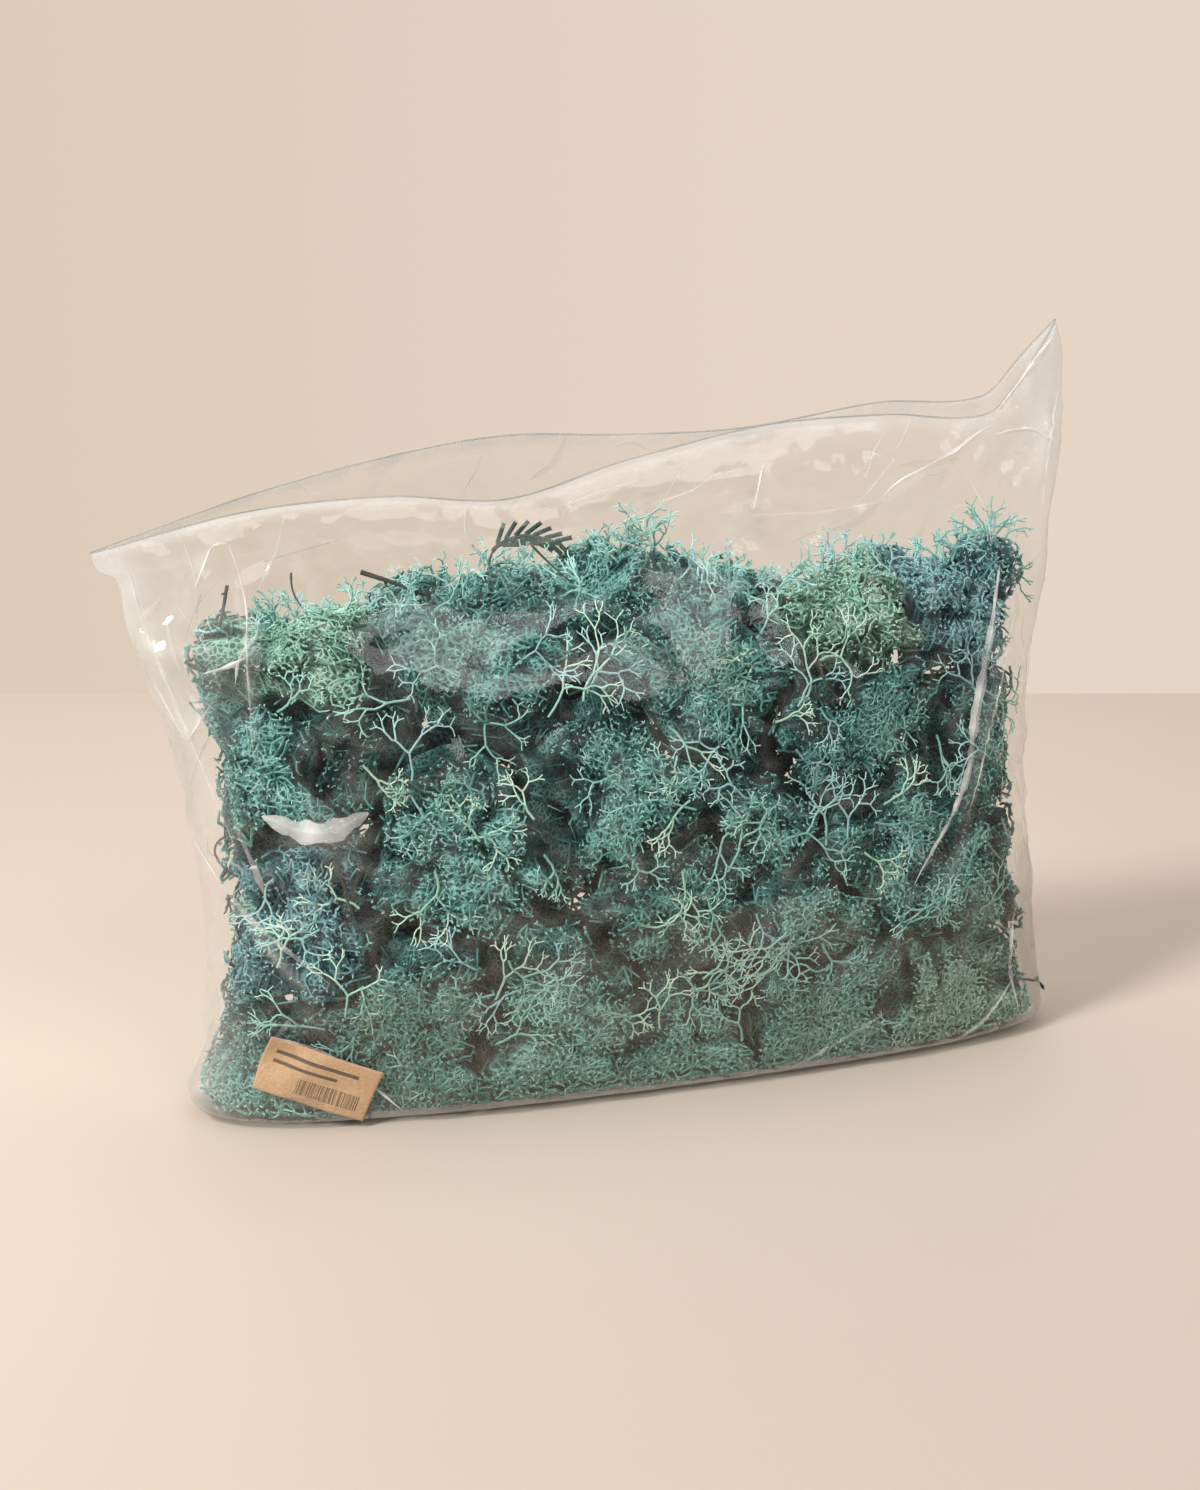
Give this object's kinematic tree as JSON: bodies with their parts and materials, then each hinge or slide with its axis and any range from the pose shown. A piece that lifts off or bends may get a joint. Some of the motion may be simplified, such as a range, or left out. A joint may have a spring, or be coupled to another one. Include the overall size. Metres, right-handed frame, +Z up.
{
  "type": "clear bag of reindeer moss clumps",
  "caption": "Clear film bag standing on its base, packed with dyed reindeer lichen heads and a few twigs, with a small bare kraft label on one corner.",
  "frame": {"origin": "middle of the bag's footprint box, on the surface that it stands on", "axes": "+X along the bag's width, from its low ear to its high peak; +Y from the labelled front to the back; +Z up"},
  "size_m": [0.4631, 0.1346, 0.343],
  "materials": {
    "film": "clear crisp polypropylene film, glossy, creased",
    "lichen_teal": "dyed preserved lichen, matte, fine branching net, teal",
    "lichen_mint": "dyed preserved lichen, matte, paler mint tips",
    "lichen_blue": "dyed preserved lichen, matte, blue-teal",
    "lichen_deep": "dyed preserved lichen, matte, deep green-teal",
    "bark": "dark bare twig",
    "needles": "dark green conifer scales, matte",
    "kraft": "brown kraft paper sticker, matte"
  },
  "bodies": {
    "root": {"conifer_sprig": "needles", "film_bag": "film", "lichen_head_01": "lichen_teal", "lichen_head_02": "lichen_teal", "lichen_head_03": "lichen_teal", "lichen_head_04": "lichen_teal", "lichen_head_05": "lichen_teal", "lichen_head_06": "lichen_teal", "lichen_head_07": "lichen_mint", "lichen_head_08": "lichen_blue", "lichen_head_09": "lichen_deep", "lichen_head_10": "lichen_teal", "lichen_head_11": "lichen_blue", "lichen_head_12": "lichen_deep", "lichen_head_13": "lichen_teal", "lichen_head_14": "lichen_deep", "lichen_head_15": "lichen_mint", "lichen_head_16": "lichen_teal", "lichen_head_17": "lichen_teal", "lichen_head_18": "lichen_deep", "lichen_head_19": "lichen_teal", "lichen_head_20": "lichen_deep", "lichen_head_21": "lichen_blue", "lichen_head_22": "lichen_blue", "lichen_head_23": "lichen_blue", "lichen_head_24": "lichen_deep", "lichen_head_25": "lichen_teal", "lichen_head_26": "lichen_teal", "lichen_head_27": "lichen_teal", "lichen_head_28": "lichen_teal", "lichen_head_29": "lichen_teal", "lichen_head_30": "lichen_teal", "lichen_head_31": "lichen_blue", "lichen_head_32": "lichen_teal", "lichen_head_33": "lichen_teal", "lichen_head_34": "lichen_deep", "lichen_head_35": "lichen_deep", "lichen_head_36": "lichen_teal", "lichen_head_37": "lichen_teal", "lichen_head_38": "lichen_deep", "lichen_head_39": "lichen_blue", "lichen_head_40": "lichen_deep", "lichen_head_41": "lichen_blue", "lichen_head_42": "lichen_deep", "lichen_head_43": "lichen_deep", "lichen_head_44": "lichen_deep", "lichen_head_45": "lichen_deep", "lichen_head_46": "lichen_blue", "lichen_head_47": "lichen_mint", "lichen_head_48": "lichen_teal", "lichen_head_49": "lichen_deep", "lichen_head_50": "lichen_mint", "paper_label": "kraft", "stem_curled": "bark", "twig_far_left": "bark", "twig_low_left": "bark", "twig_right": "bark", "twig_top_left": "bark"}
  },
  "joints": []
}
